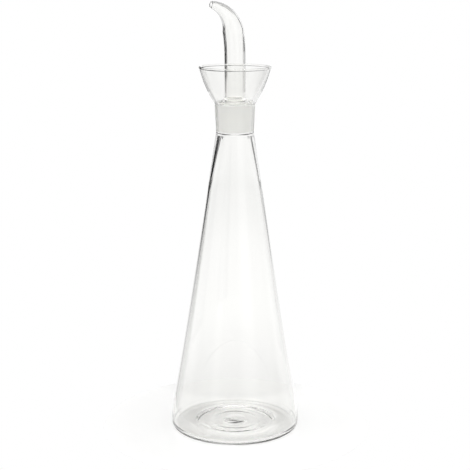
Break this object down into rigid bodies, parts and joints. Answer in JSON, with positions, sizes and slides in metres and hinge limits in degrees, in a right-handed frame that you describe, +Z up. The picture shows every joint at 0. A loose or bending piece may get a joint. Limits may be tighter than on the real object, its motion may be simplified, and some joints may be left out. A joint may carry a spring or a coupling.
{
  "type": "oil bottle",
  "caption": "Clear conical glass oil bottle with a ground neck and a lift-out glass pourer: curved tapering spout standing in a flared drip-catching cup.",
  "frame": {"origin": "centre of the foot's contact ring, in the plane of the table", "axes": "+Z up along the bottle's axis; the spout bends over and pours towards +X"},
  "size_m": [0.0908, 0.0908, 0.3],
  "materials": {
    "clear_glass": "clear fire-polished borosilicate glass",
    "ground_glass": "borosilicate glass, ground matt on the taper faces"
  },
  "bodies": {
    "bottle": {"bottle_base": "clear_glass", "bottle_wall": "clear_glass", "neck_socket": "ground_glass"},
    "pourer": {"ground_plug": "ground_glass", "cup_floor": "clear_glass", "drip_cup": "clear_glass", "spout_tube": "clear_glass"}
  },
  "joints": [
    {"name": "pourer_lift", "type": "slide", "parent": "bottle", "child": "pourer", "axis": [0, 0, 1], "range_m": [0, 0.06]}
  ]
}
